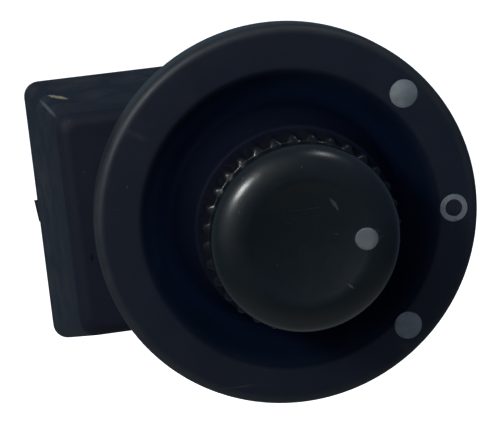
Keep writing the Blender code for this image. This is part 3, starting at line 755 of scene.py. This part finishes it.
def make_cover():
    def plate(shape):
        sections = []
        for inset, z in arc((0.8, COVER_BACK + 0.8), (0.8, 0.8), 270, 180, 5):
            sections.append((case_outline(inset, CASE_CORNER_RADIUS - 0.5 * inset), z))
        sections.append((case_outline(0.0, CASE_CORNER_RADIUS), COVER_FRONT - 0.25))
        sections.append((case_outline(0.25, CASE_CORNER_RADIUS - 0.1), COVER_FRONT))
        loft(shape, sections)

    def lugs_and_barriers(shape):
        for edge, side in ((CASE_LEFT, -1), (CASE_RIGHT, 1)):
            inner = edge - side * 1.2
            wedge = [(inner, -2.8), (edge + side * 0.2, -2.8)]
            wedge += [(edge + side * 0.7, 2.0), (inner, 2.0)]
            if side < 0:
                wedge.reverse()
            loft(shape, [(wedge, COVER_BACK + 1.0), (wedge, COVER_FRONT - 0.2)])
        for y in (7.5, -7.5):
            low = (-46.5, y - 0.7, COVER_BACK - BARRIER_DEPTH)
            block(shape, low, (-19.0, y + 0.7, COVER_BACK + 1.0))

    def holes(shape):
        for place in TERMINALS.values():
            rod(shape, STUD_HOLE_RADIUS, COVER_BACK - 2, COVER_FRONT + 2, place)
        for place in PILLARS:
            rod(shape, SCREW_HOLE_RADIUS, COVER_BACK - 2, COVER_FRONT + 2, place, sides=24)

    mesh = mesh_from("rear_cover", plate)
    mesh = carve(mesh, "UNION", lugs_and_barriers)
    mesh = carve(mesh, "DIFFERENCE", holes)
    cover = piece("cover_moulding", mesh, "case_plastic", "housing", "rear_cover")
    bevel = cover.modifiers.new("edges", "BEVEL")
    bevel.width = 0.00018
    bevel.segments = 2
    bevel.limit_method = "ANGLE"
    bevel.angle_limit = math.radians(60)

    def seal(shape):
        z = SEAL_FRONT
        rows = [(0.9, z - 1.0), (0.6, z - 0.75), (0.6, z - 0.25)]
        rows += [(0.9, z), (2.4, z), (2.4, z - 1.0)]
        loft(shape, [(case_outline(inset, 1.8), level) for inset, level in rows], ring=True)

    piece("seal_ring", mesh_from("cover_seal", seal), "rubber", "housing", "cover_seal")


def make_screws():
    head_back = COVER_BACK - GAP

    def screw(shape):
        profile = [(0.0, head_back - 1.75)]
        profile += arc((0.0, head_back - 0.75), (2.8, 1.0), 280, 345, 6)
        profile += [(2.8, head_back - 0.4), (2.75, head_back), (1.25, head_back)]
        profile += [(1.25, -CASE_DEPTH + 7.4), (0.0, -CASE_DEPTH + 8.4)]
        turn(shape, profile, 40)

    def bar(half_x, half_y):
        """A cut for one bar of the cross, which narrows as it goes in."""

        def cut(shape):
            corners = ((1, 1), (-1, 1), (-1, -1), (1, -1))
            mouth = [(x * half_x, y * half_y) for x, y in corners]
            end = [(x * 0.4, y * 0.4) for x, y in mouth]
            loft(shape, [(mouth, head_back - 2.4), (end, head_back - 0.5)])

        return cut

    mesh = mesh_from("cover_screw", screw)
    mesh = carve(mesh, "DIFFERENCE", bar(1.5, 0.32), bar(0.32, 1.5))
    for number, (x, y) in enumerate(PILLARS, start=1):
        copy = mesh.copy()
        angle = Matrix.Rotation(0.9 * number, 4, "Z")
        place = Matrix.Translation((x, y, 0.0)) @ angle
        copy.transform(STAND @ place @ STAND.inverted())
        piece(f"pan_screw_{number}", copy, "steel", "housing", f"cover_screw_{number}")


def make_terminals():
    washer_front = COVER_BACK - GAP
    lock_front = washer_front - WASHER_THICKNESS - GAP
    nut_front = lock_front - LOCK_WASHER_THICKNESS - GAP

    def hexagon(across, sides=48):
        points = []
        for i in range(sides):
            angle = 2 * math.pi * i / sides
            from_flat = (angle + math.pi / 6) % (math.pi / 3) - math.pi / 6
            reach = across / 2 / math.cos(from_flat)
            points.append((reach * math.cos(angle), reach * math.sin(angle)))
        return points

    def chamfered(outline, limit):
        return [Vector(p) * min(1.0, limit / Vector(p).length) for p in outline]

    def stud(shape):
        rows = 96
        profile = [(0.0, STUD_END), (2.3, STUD_END)]
        start = STUD_END + 0.3
        span = COVER_BACK + 1.0 - start
        profile += [(STUD_RADIUS, start + span * i / rows) for i in range(rows + 1)]
        profile += [(2.85, -31.0), (0.0, -31.0)]

        def thread(angle, row):
            radius, z = profile[row]
            if radius != STUD_RADIUS:
                return 0.0
            phase = (z / THREAD_PITCH - angle / (2 * math.pi)) % 1.0
            depth = 0.36 * abs(2 * phase - 1) ** 0.8
            lead = min(1.0, max(0.0, (z - start) / 0.7))
            return -depth * (0.3 + 0.7 * lead) - 0.35 * (1 - lead)

        turn(shape, profile, 36, thread)

    def stud_head(shape):
        back = -28.9
        full = hexagon(ACROSS_FLATS)
        loft(shape, [(full, back), (full, -25.3), (chamfered(full, 4.9), -24.8)])

    def washer(shape):
        rows = [(3.2, 0.15), (3.35, 0.0), (6.05, 0.0), (6.2, 0.15), (6.2, 1.05), (6.05, 1.2)]
        rows += [(3.35, 1.2), (3.2, 1.05)]
        turn(shape, [(r, washer_front - z) for r, z in rows], 64)

    def lock_washer(shape):
        """A split spring washer: one turn of a square wire, its ends a little apart in height."""
        section = ((3.2, -0.5), (5.4, -0.5), (5.4, 0.5), (3.2, 0.5))
        angles = (math.radians(187), math.radians(533))
        coil(shape, section, lock_front - 0.55, lock_front - 0.95, angles, 60)

    def nut(shape):
        bore = circle(3.2, sides=48)
        mouth = circle(3.5, sides=48)
        full = hexagon(ACROSS_FLATS)
        cut = chamfered(full, 5.05)
        top = nut_front - NUT_HEIGHT
        rows = [(cut, top), (full, top + 0.55), (full, nut_front - 0.55), (cut, nut_front)]
        rows += [(mouth, nut_front), (bore, nut_front - 0.3), (bore, top + 0.3), (mouth, top)]
        loft(shape, rows, ring=True)

    shapes = (
        ("nut", nut, "brass", 35.0),
        ("washer", washer, "steel", 50.0),
        ("lock_washer", lock_washer, "steel", 50.0),
    )
    for number, (terminal, (x, y)) in enumerate(TERMINALS.items()):
        spin = Matrix.Rotation(0.37 + 0.8 * number, 4, "Z")
        place = STAND @ Matrix.Translation((x, y, 0.0)) @ spin @ STAND.inverted()
        for kind, build, slot, angle in shapes:
            mesh = mesh_from(f"{kind}_{terminal}", build, angle)
            mesh.transform(place)
            piece(f"terminal_{kind}_{terminal}", mesh, slot, "housing", f"{kind}_{terminal}")
        shift = STAND @ Matrix.Translation((x, y, 0.0)) @ STAND.inverted()
        mesh = mesh_from(f"stud_{terminal}", stud, 60.0)
        mesh = carve(mesh, "UNION", stud_head)
        mesh.transform(shift)
        piece(f"threaded_stud_{terminal}", mesh, "brass", "housing", f"stud_{terminal}")


# Detent springs


def make_detent_springs():
    """The springs behind the two plungers. Each is squeezed as its plunger lifts."""
    section = [(SPRING_RADIUS + x, z) for x, z in circle(SPRING_WIRE, sides=10)]
    for name, side in (("upper", 1), ("lower", -1)):

        def wire(shape):
            coil(shape, section, SPRING_START, SPRING_END, (0.0, 9 * math.pi), 108)
            place = Matrix.Translation((0.0, 0.0, DETENT_LEVEL))
            place = place @ Matrix.Rotation(-side * math.pi / 2, 4, "X")
            bmesh.ops.transform(shape, matrix=place, verts=shape.verts)

        node = f"detent_spring_{name}"
        mesh = mesh_from(node, wire, 80.0)
        spring = piece(f"plunger_spring_{name}", mesh, "steel", f"detent_{name}", node)
        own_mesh(spring)


# Round plate


def on_mark_circle(eighths):
    """The middle of a mark, some eighths of a turn round from the ring."""
    angle = eighths * math.pi / 4 + PLATE_TURN
    return (MARK_CIRCLE * math.cos(angle), MARK_CIRCLE * math.sin(angle))


def make_plate():
    def body(shape):
        profile = [(HUB_BORE, FLANGE_BACK + 3.0), (HUB_BORE, HUB_TOP - 0.5)]
        profile += [(HUB_BORE + 0.5, HUB_TOP)]
        profile += arc((19.8, HUB_TOP - 0.8), (0.8, 0.8), 90, 0, 6)
        reach = HUB_TOP - 0.8 - TROUGH
        profile += arc((24.8, HUB_TOP - 0.8), (4.2, reach), 180, 270, 26)[1:]
        profile += eased((25.8, TROUGH), (31.3, FLANGE_FACE), 24)
        profile += filleted(
            [
                (32.0, FLANGE_FACE, 0.0),
                (FLANGE_RADIUS, FLANGE_FACE, 1.8),
                (FLANGE_RADIUS, FLANGE_BACK, 0.35),
                (7.4, FLANGE_BACK, 0.0),
            ],
            8,
        )
        profile += [(7.4, FLANGE_BACK + 3.0)]
        turn(shape, profile, 224)

    def recesses(shape):
        low, high = FLANGE_FACE - 0.8, FLANGE_FACE + 1.0
        for eighths in (1, -1):
            place = on_mark_circle(eighths)
            rod(shape, MARK_RADIUS + MARK_PLAY, low, high, place, sides=64)
        outer = circle(MARK_RADIUS + MARK_PLAY, *OFF_PLACE)
        inner = circle(MARK_BORE - MARK_PLAY, *OFF_PLACE)
        loft(shape, [(outer, low), (outer, high), (inner, high), (inner, low)], ring=True)

    def pockets(shape):
        pitch = math.pi / 6
        for number in range(12):
            outline = []
            for reach, start, end in ((37.4, -1, 1), (30.6, 1, -1)):
                half = pitch / 2 - 0.9 / reach
                for step in range(9):
                    angle = number * pitch + half * (start + (end - start) * step / 8)
                    outline.append((reach * math.cos(angle), reach * math.sin(angle)))
            loft(shape, [(outline, FLANGE_BACK - 2.0), (outline, FLANGE_FACE - 3.0)])

    mesh = carve(mesh_from("escutcheon", body, 30.0), "DIFFERENCE", recesses, pockets)
    piece("round_plate", mesh, "face_plastic", "housing", "escutcheon")

    top = FLANGE_FACE - 0.03
    floor = FLANGE_FACE - 0.75
    for name, eighths in (("mark_battery_1", 1), ("mark_battery_2", -1)):
        place = on_mark_circle(eighths)

        def disc(shape):
            radii = ((MARK_RADIUS, floor), (MARK_RADIUS, top - 0.1), (MARK_RADIUS - 0.12, top))
            loft(shape, [(circle(radius, *place), z) for radius, z in radii])

        piece(f"{name}_inlay", mesh_from(name, disc), "marking", "housing", name)

    def ring(shape):
        rows = [(MARK_RADIUS, floor), (MARK_RADIUS, top - 0.1), (MARK_RADIUS - 0.1, top)]
        rows += [(MARK_BORE + 0.1, top), (MARK_BORE, top - 0.1), (MARK_BORE, floor)]
        loft(shape, [(circle(r, *OFF_PLACE), z) for r, z in rows], ring=True)

    piece("mark_off_inlay", mesh_from("mark_off", ring), "marking", "housing", "mark_off")


# Knob


def knob_height(radius):
    """The height of the knob's dished top at a distance from its axis."""
    if radius <= DISH_RADIUS:
        share = radius / DISH_RADIUS
        return KNOB_TOP - DISH_DEPTH * (1 - share**2)
    share = min(1.0, (radius - DISH_RADIUS) / (KNOB_RADIUS - DISH_RADIUS))
    return KNOB_SHOULDER + (KNOB_TOP - KNOB_SHOULDER) * math.sqrt(1 - share**2)


def knob_profile():
    """The knob's half section, from the middle of its top, with the share of rib on each point."""
    rows = [(DISH_RADIUS * i / 14, 0.0) for i in range(14)]
    rows = [(radius, knob_height(radius), rib) for radius, rib in rows]
    reach = KNOB_RADIUS - DISH_RADIUS
    rise = KNOB_TOP - KNOB_SHOULDER
    for radius, z in arc((DISH_RADIUS, KNOB_SHOULDER), (reach, rise), 90, 0, 16):
        rows.append((radius, z, 0.0))
    rows += [(KNOB_RADIUS, RIB_TOP + 1.1, 0.0), (KNOB_RADIUS - 0.25, RIB_TOP + 0.75, 0.0)]
    rows += [(KNOB_RADIUS - 0.25, RIB_TOP + 0.55, 0.0), (KNOB_RADIUS, RIB_TOP + 0.35, 0.25)]
    rows += [(KNOB_RADIUS, RIB_TOP + 0.1, 0.65), (KNOB_RADIUS, RIB_TOP - 0.2, 0.9)]
    rows += [(KNOB_RADIUS, RIB_TOP - 0.6, 1.0)]
    foot = KNOB_BOTTOM + 0.5
    drop = foot - RIB_TOP + 0.6
    rows += [(KNOB_RADIUS, RIB_TOP - 0.6 + drop * i / 6, 1.0) for i in range(1, 7)]
    rows += [(KNOB_RADIUS, KNOB_BOTTOM + 0.2, 0.85), (KNOB_RADIUS - 0.2, KNOB_BOTTOM, 0.5)]
    bottom = KNOB_BOTTOM - 3.4
    inside = [(16.8, KNOB_BOTTOM), (16.8, bottom), (15.4, bottom), (15.4, KNOB_TOP - 5.5)]
    inside += [(13.9, KNOB_TOP - 4.0), (6.4, KNOB_TOP - 4.0), (6.4, 13.0), (4.1, 13.0)]
    inside += [(4.1, 27.4), (0.0, 27.4)]
    return rows + [(radius, z, 0.0) for radius, z in inside]


def make_knob():
    rows = knob_profile()

    def rib(angle, row):
        """Narrow round-backed ribs with wider, shallow valleys between."""
        phase = (angle * RIB_COUNT / (2 * math.pi)) % 1.0
        away = min(phase, 1 - phase) * 2
        ridge = max(0.0, 1 - (away / 0.62) ** 2) ** 0.7
        return (RIB_RADIUS - KNOB_RADIUS) * ridge * rows[row][2]

    def body(shape):
        turn(shape, [(radius, z) for radius, z, _ in rows], RIB_COUNT * 14, rib)

    def recess(shape):
        rod(shape, DOT_RADIUS + 0.05, KNOB_TOP - 2.4, KNOB_TOP + 2, DOT_PLACE, sides=72)

    mesh = carve(mesh_from("knob", body, 50.0), "DIFFERENCE", recess)
    piece("knob_moulding", mesh, "knob_plastic", "rotor_group", "knob")

    def dot(shape):
        sides = 72
        rings = []
        for share in (0.0, 0.25, 0.5, 0.75, 0.93, 1.0):
            if share == 0:
                rings.append([shape.verts.new((*DOT_PLACE, knob_height(DOT_CIRCLE) - 0.02))])
                continue
            ring = []
            for x, y in circle(DOT_RADIUS * share, *DOT_PLACE, sides):
                sink = 0.10 if share == 1.0 else 0.02
                ring.append(shape.verts.new((x, y, knob_height(math.hypot(x, y)) - sink)))
            rings.append(ring)
        floor = KNOB_TOP - 2.35
        rings.append([shape.verts.new((v.co.x, v.co.y, floor)) for v in rings[-1]])
        for inner, outer in zip(rings, rings[1:]):
            for i in range(sides):
                after = (i + 1) % sides
                if len(inner) == 1:
                    shape.faces.new((inner[0], outer[i], outer[after]))
                else:
                    shape.faces.new((inner[i], outer[i], outer[after], inner[after]))
        shape.faces.new(rings[-1])

    piece("knob_dot_inlay", mesh_from("knob_dot", dot, 50.0), "marking", "rotor_group", "knob_dot")


# Setting


def make_floor():
    shape = bmesh.new()
    bmesh.ops.create_grid(shape, x_segments=1, y_segments=1, size=6.0)
    mesh = bpy.data.meshes.new("floor")
    shape.to_mesh(mesh)
    shape.free()
    material, tree, shader = blank_material("floor_white")
    fleck = noise(tree, coordinates(tree), 9.0, 3.0)
    tint = mix_colour(tree, fleck, grey(0.90), grey(0.93))
    tree.links.new(tint, shader.inputs["Base Color"])
    shader.inputs["Roughness"].default_value = 0.9
    shader.inputs["Emission Color"].default_value = grey(1.0)
    shader.inputs["Emission Strength"].default_value = 0.95
    mesh.materials.append(material)
    floor = bpy.data.objects.new("floor", mesh)
    floor.location = (0.0, 0.0, -0.22)
    floor.visible_glossy = False
    floor.visible_diffuse = False
    bpy.context.scene.collection.objects.link(floor)


def softbox(name, azimuth, elevation, distance, size, watts, colour=(1.0, 1.0, 1.0)):
    """An area light that faces the knob. Azimuth 0 is in front of it, negative to its left."""
    a, e = math.radians(azimuth), math.radians(elevation)
    back = Vector((math.sin(a) * math.cos(e), -math.cos(a) * math.cos(e), math.sin(e)))
    light = bpy.data.lights.new(name, "AREA")
    light.shape = "RECTANGLE"
    light.size, light.size_y = size
    light.energy = watts
    light.color = colour
    lamp = bpy.data.objects.new(name, light)
    lamp.location = back * distance
    lamp.rotation_mode = "QUATERNION"
    lamp.rotation_quaternion = back.to_track_quat("Z", "Y")
    bpy.context.scene.collection.objects.link(lamp)
    return lamp


def make_lights():
    softbox("window", -45, 31.5, 1.5, (0.27, 0.28), 11.0, (0.97, 1.0, 1.0))
    bounce = softbox("bounced_daylight", -38, 34, 1.5, (1.5, 1.2), 14.0, (0.98, 0.98, 1.0))
    bounce.visible_glossy = False
    softbox("ceiling_lamp", 56, 58, 1.4, (0.15, 0.05), 2.0)
    world = bpy.data.worlds.new("studio")
    world.use_nodes = True
    tree = world.node_tree
    tree.nodes.clear()
    direction = add(tree, "ShaderNodeTexCoord").outputs["Generated"]
    height = add(tree, "ShaderNodeSeparateXYZ", {0: direction}).outputs["Z"]
    ramp = add(tree, "ShaderNodeValToRGB", {"Fac": remap(tree, height, -1.0, 1.0)})
    stops = ramp.color_ramp.elements
    stops[0].color = (0.06, 0.11, 0.20, 1.0)
    stops[1].position = 0.85
    stops[1].color = (0.40, 0.58, 0.90, 1.0)
    parts = add(tree, "ShaderNodeSeparateXYZ", {0: direction})
    behind = math_node(
        tree,
        "MULTIPLY",
        remap(tree, parts.outputs["Y"], 0.15, 0.65),
        remap(tree, parts.outputs["X"], 0.35, -0.10, 0.35, 1.0),
    )
    tint = mix_colour(tree, behind, ramp.outputs["Color"], (0.46, 0.66, 0.84, 1.0))
    below = remap(tree, height, -0.45, -0.85)
    tint = mix_colour(tree, below, tint, (0.75, 0.85, 0.90, 1.0))
    towards = {0: direction, 1: (-0.62, -0.60, 0.51)}
    aim = add(tree, "ShaderNodeVectorMath", towards, operation="DOT_PRODUCT").outputs["Value"]
    tint = mix_colour(tree, remap(tree, aim, 0.70, 0.98, 0.0, 0.8), tint, (2.3, 2.4, 2.5, 1.0))
    room = add(tree, "ShaderNodeBackground", {"Color": tint, "Strength": 0.28})
    paper = add(tree, "ShaderNodeBackground", {"Color": grey(1.0), "Strength": 1.0})
    seen = add(tree, "ShaderNodeLightPath").outputs["Is Camera Ray"]
    either = add(
        tree,
        "ShaderNodeMixShader",
        {0: seen, 1: room.outputs["Background"], 2: paper.outputs["Background"]},
    )
    add(tree, "ShaderNodeOutputWorld", {"Surface": either.outputs["Shader"]})
    bpy.context.scene.world = world


def make_camera():
    azimuth, elevation, roll = (math.radians(d) for d in CAMERA_ANGLES)
    back = Vector(
        (
            math.sin(azimuth) * math.cos(elevation),
            -math.cos(azimuth) * math.cos(elevation),
            math.sin(elevation),
        )
    )
    level = Vector((math.cos(azimuth), math.sin(azimuth), 0.0))
    up = back.cross(level)
    right = level * math.cos(roll) + up * math.sin(roll)
    up = back.cross(right)
    data = bpy.data.cameras.new("camera")
    data.lens = CAMERA_LENS
    data.sensor_width = 36.0
    data.clip_start = 0.01
    data.clip_end = 50.0
    data.dof.use_dof = False
    camera = bpy.data.objects.new("camera", data)
    aim = Vector((0.0, -0.001 * FLANGE_FACE, 0.0))
    aside, above = CAMERA_SHIFT
    place = aim + CAMERA_DISTANCE * (back - aside * right + above * up)
    axes = Matrix((right, up, back)).transposed().to_4x4()
    camera.matrix_world = Matrix.Translation(place) @ axes
    bpy.context.scene.collection.objects.link(camera)
    bpy.context.scene.camera = camera


def finish_frame():
    """The CAD nodes that stay get the finished material of their slot."""
    slots = {part["node"]: part["material_slot"] for part in frame["record"]["subparts"]}
    for name, node in frame["nodes"].items():
        for holder in node.material_slots:
            holder.material = SLOTS[slots[name]]


finish_frame()
make_case()
make_cover()
make_screws()
make_terminals()
make_detent_springs()
make_plate()
make_knob()
make_floor()
make_lights()
make_camera()
bpy.context.scene.view_settings.view_transform = "Standard"
